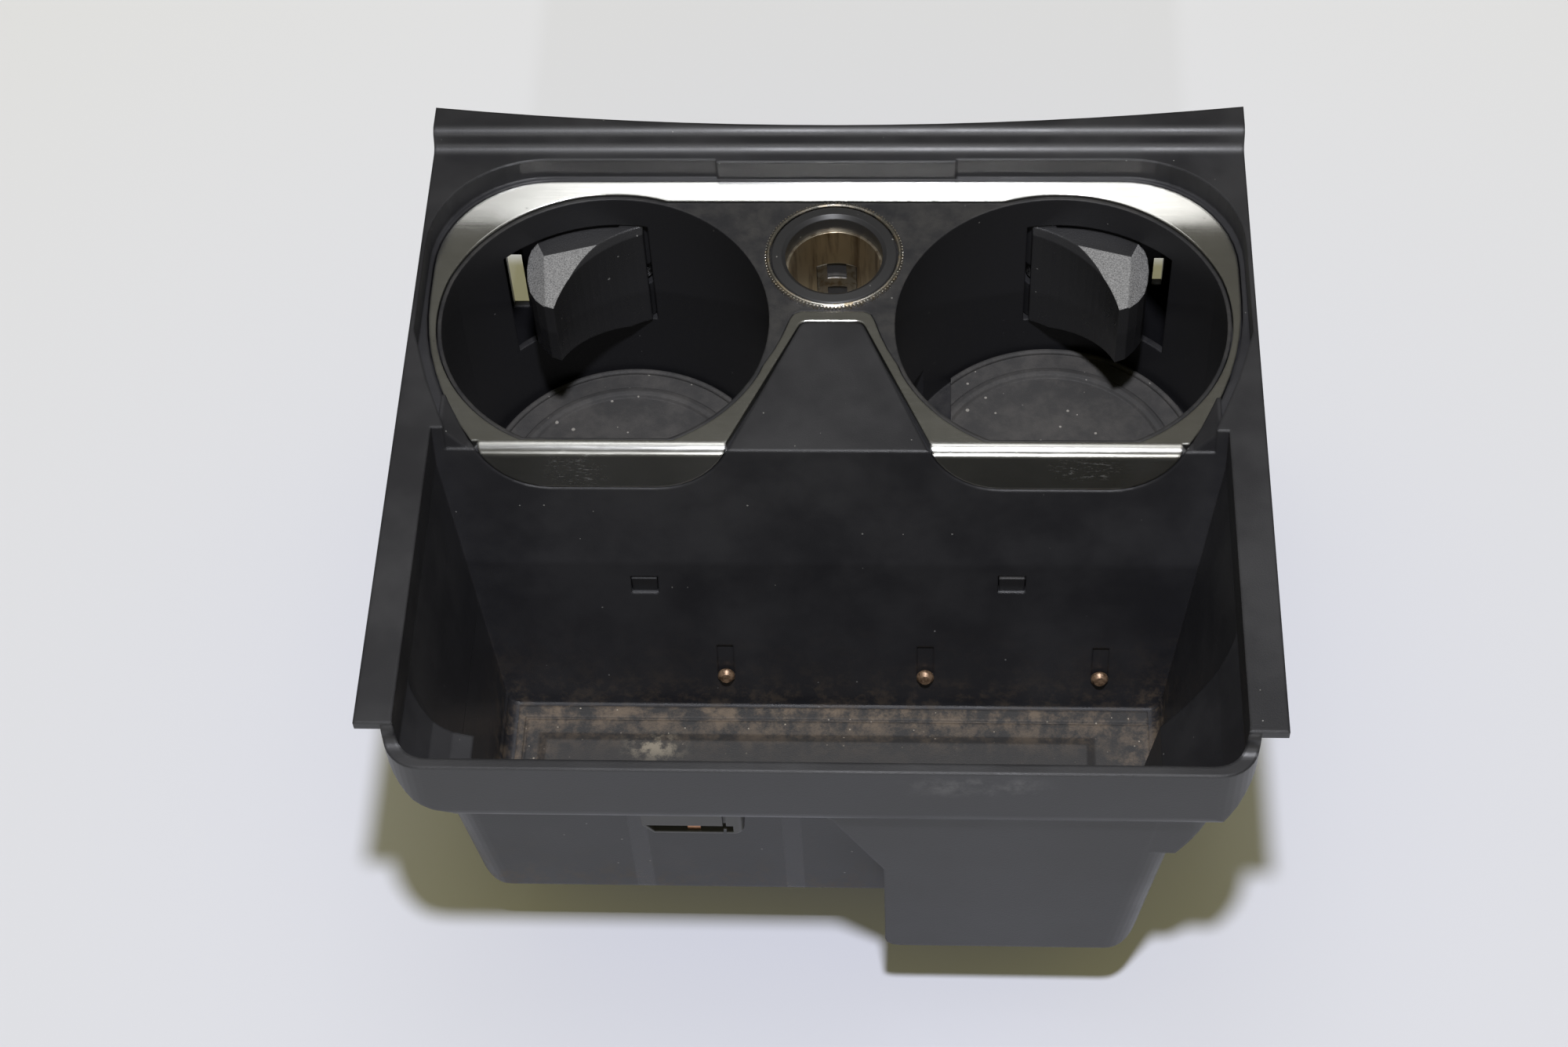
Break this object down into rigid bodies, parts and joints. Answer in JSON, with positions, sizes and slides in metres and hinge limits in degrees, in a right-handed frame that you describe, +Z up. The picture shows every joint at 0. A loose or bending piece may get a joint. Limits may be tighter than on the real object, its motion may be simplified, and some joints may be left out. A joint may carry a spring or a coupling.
{
  "type": "car cup holder",
  "caption": "Console cup holder tray with two round wells, sprung cup flaps, a power socket between them and an open bin in front",
  "frame": {"origin": "middle of the part's footprint on the plane it stands on", "axes": "+Z up, +X to the right seen from the bin side, -Y towards the open bin, +Y towards the raised rear strip"},
  "size_m": [0.189, 0.174, 0.1166],
  "materials": {
    "black_plastic": "half gloss, dusty",
    "well_plastic": "fine grain",
    "trim_metal": "satin silver",
    "mat_rubber": "soft, worn",
    "bin_rubber": "soft, stained",
    "flap_plastic": "half gloss",
    "pin_steel": "drawn wire",
    "spring_steel": "spring wire",
    "ring_chrome": "tarnished",
    "bush_plastic": "smooth",
    "barrel_metal": "dull plated",
    "sleeve_plastic": "moulded",
    "clip_metal": "dull spring strip",
    "disc_plastic": "pressed board",
    "contact_brass": "turned",
    "terminal_brass": "stamped",
    "peg_metal": "browned",
    "bracket_plastic": "moulded",
    "bracket_copper": "bare copper"
  },
  "bodies": {
    "tray": {"tray_body": "black_plastic", "trim_frame": "trim_metal", "cup_insert": "well_plastic", "cup_mat_left": "mat_rubber", "cup_mat_right": "mat_rubber", "bin_mat": "bin_rubber", "flap_pin_left": "pin_steel", "flap_pin_right": "pin_steel", "flap_spring_left": "spring_steel", "flap_spring_right": "spring_steel", "socket_ring": "ring_chrome", "socket_bush": "bush_plastic", "socket_barrel": "barrel_metal", "socket_sleeve": "sleeve_plastic", "socket_clip": "clip_metal", "socket_disc": "disc_plastic", "socket_contact": "contact_brass", "socket_terminals": "terminal_brass", "wall_pegs": "peg_metal", "bracket_housing": "bracket_plastic", "bracket_contact": "bracket_copper"},
    "left_flap": {"flap_left": "flap_plastic"},
    "right_flap": {"flap_right": "flap_plastic"}
  },
  "joints": [
    {"name": "left_flap_hinge", "type": "hinge", "parent": "tray", "child": "left_flap", "pos_m": [-0.04782, 0.07181, 0.08], "axis": [0, 0, -1], "range_deg": [0, 29], "stiffness_Nm_per_rad": 0.004, "springref_deg": -17.19},
    {"name": "right_flap_hinge", "type": "hinge", "parent": "tray", "child": "right_flap", "pos_m": [0.04782, 0.07181, 0.08], "axis": [0, 0, 1], "range_deg": [0, 29], "stiffness_Nm_per_rad": 0.004, "springref_deg": -17.19}
  ]
}
